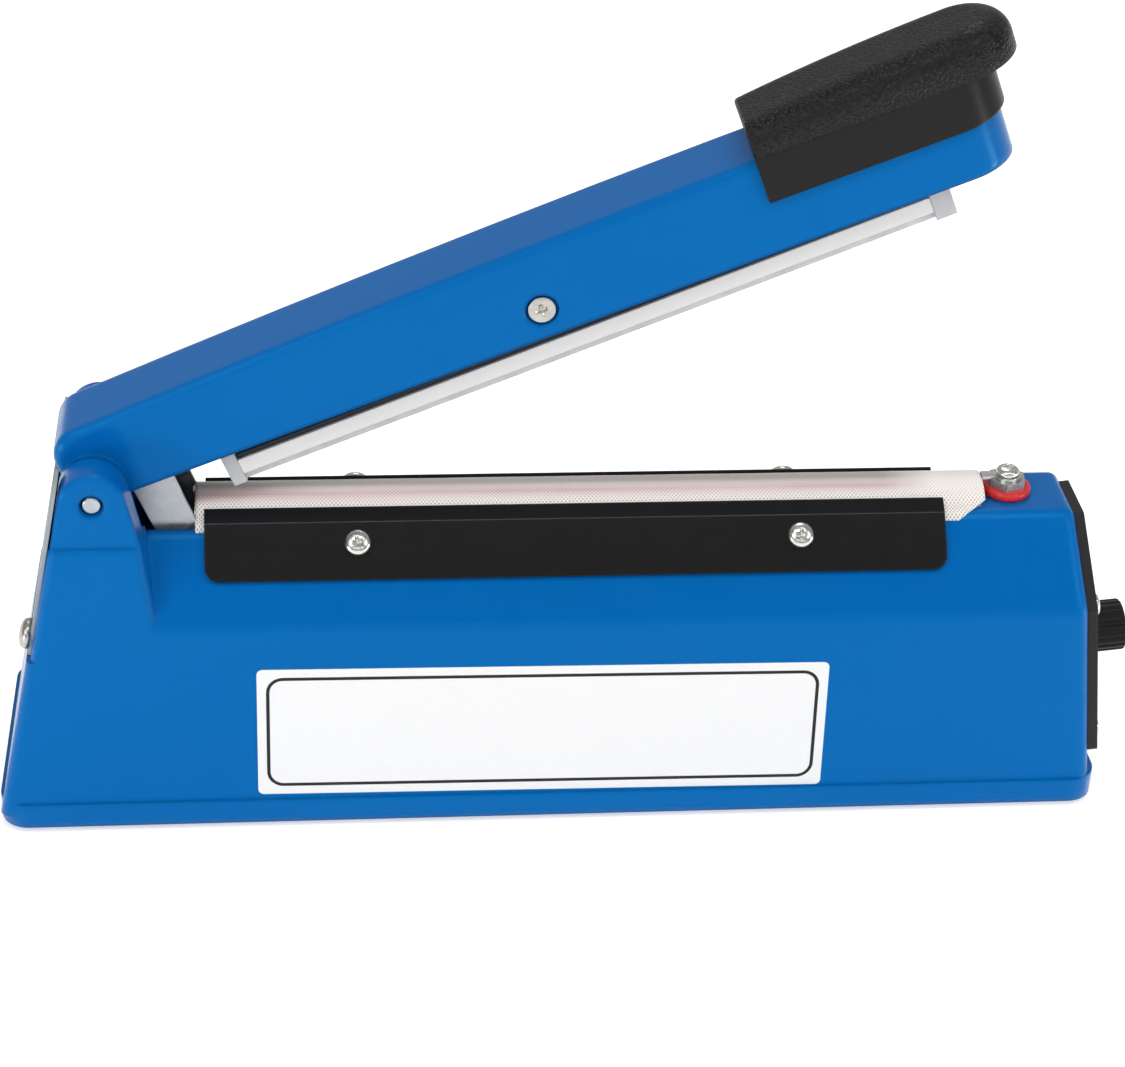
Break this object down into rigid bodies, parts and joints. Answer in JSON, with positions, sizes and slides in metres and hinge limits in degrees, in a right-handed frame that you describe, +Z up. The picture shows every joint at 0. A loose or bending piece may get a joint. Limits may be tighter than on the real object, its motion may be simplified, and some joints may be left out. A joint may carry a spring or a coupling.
{
  "type": "impulse heat sealer",
  "caption": "Hand impulse sealer with a blue moulded base, a sprung hinged arm with a rocking pressure bar, a clothed heating bed and a timer knob.",
  "frame": {"origin": "middle of the base's length and width on the plane the feet stand on", "axes": "+X along the length towards the timer knob, +Y to the back, +Z up"},
  "size_m": [0.3227, 0.0724, 0.2271],
  "materials": {
    "blue_plastic": "glossy moulded blue",
    "black_plastic": "pebbled and satin black",
    "black_sheet": "black powder coat",
    "grey_sheet": "light grey coat",
    "bright_steel": "zinc plated",
    "core_steel": "stacked sheets",
    "bed_aluminium": "plain extrusion",
    "white_plastic": "off-white",
    "red_plastic": "red moulded",
    "red_lens": "clear red lens",
    "dark_plastic": "electrical parts",
    "silicone": "grey rubber",
    "coated_cloth": "coated glass cloth"
  },
  "bodies": {
    "base": {"base_housing": "blue_plastic", "control_panel": "black_plastic", "clamp_plate_front": "black_sheet", "clamp_plate_rear": "black_sheet", "bottom_plate": "grey_sheet", "rear_cover": "grey_sheet", "transformer_strap": "grey_sheet", "hinge_pin": "bright_steel", "spring_anchor": "bright_steel", "bottom_screws": "bright_steel", "rear_cover_screw": "bright_steel", "panel_screws": "bright_steel", "clamp_screws": "bright_steel", "bed_screws": "bright_steel", "terminal_screws": "bright_steel", "terminal_nut": "bright_steel", "wire_lugs": "bright_steel", "switch_screws": "bright_steel", "transformer_screws": "bright_steel", "pot_nut": "bright_steel", "potentiometer": "bright_steel", "return_spring": "bright_steel", "heating_wire": "bright_steel", "transformer_core": "core_steel", "seal_bed": "bed_aluminium", "board_posts": "white_plastic", "insulating_washer": "red_plastic", "pilot_lamp": "red_lens", "transformer_coil": "dark_plastic", "timer_board": "dark_plastic", "board_parts": "dark_plastic", "switch_body": "dark_plastic", "rubber_feet": "silicone", "cord_grommet": "silicone", "cloth_cover": "coated_cloth", "bed_strip": "coated_cloth"},
    "arm": {"arm_shell": "blue_plastic", "arm_bracket": "bright_steel", "bracket_screws": "bright_steel", "spring_pin": "bright_steel", "bar_pivot_screw": "bright_steel", "bar_pivot_nut": "bright_steel", "handle_saddle": "black_plastic", "handle_grip": "black_plastic", "handle_screws": "bright_steel"},
    "bar": {"pressure_bar": "white_plastic", "bar_carrier": "black_sheet", "bar_end_caps": "white_plastic", "silicone_strip": "silicone"},
    "knob": {"control_knob": "black_plastic", "pot_shaft": "bright_steel"},
    "button": {"switch_button": "dark_plastic"}
  },
  "joints": [
    {"name": "arm_hinge", "type": "hinge", "parent": "base", "child": "arm", "pos_m": [-0.1255, 0, 0.0994], "axis": [0, 1, 0], "range_deg": [0, 18.11], "stiffness_Nm_per_rad": 1.2, "springref_deg": -20.05, "deforming": ["return_spring"]},
    {"name": "bar_rock", "type": "hinge", "parent": "arm", "child": "bar", "pos_m": [-0.0066, 0, 0.14844], "axis": [0, 1, 0], "range_deg": [0, 4.57]},
    {"name": "button_press", "type": "slide", "parent": "base", "child": "button", "axis": [0, 0, -1], "range_m": [0, 0.0047]},
    {"name": "knob_turn", "type": "hinge", "parent": "base", "child": "knob", "pos_m": [0.14975, 0, 0.037], "axis": [0.9947, 0, 0.1031], "range_deg": [-140, 140]}
  ],
  "couplings": [
    {"joint": "bar_rock", "follows": "arm_hinge", "ratio": 0.25124},
    {"joint": "button_press", "follows": "arm_hinge", "m_per_rad": 0.01424}
  ]
}
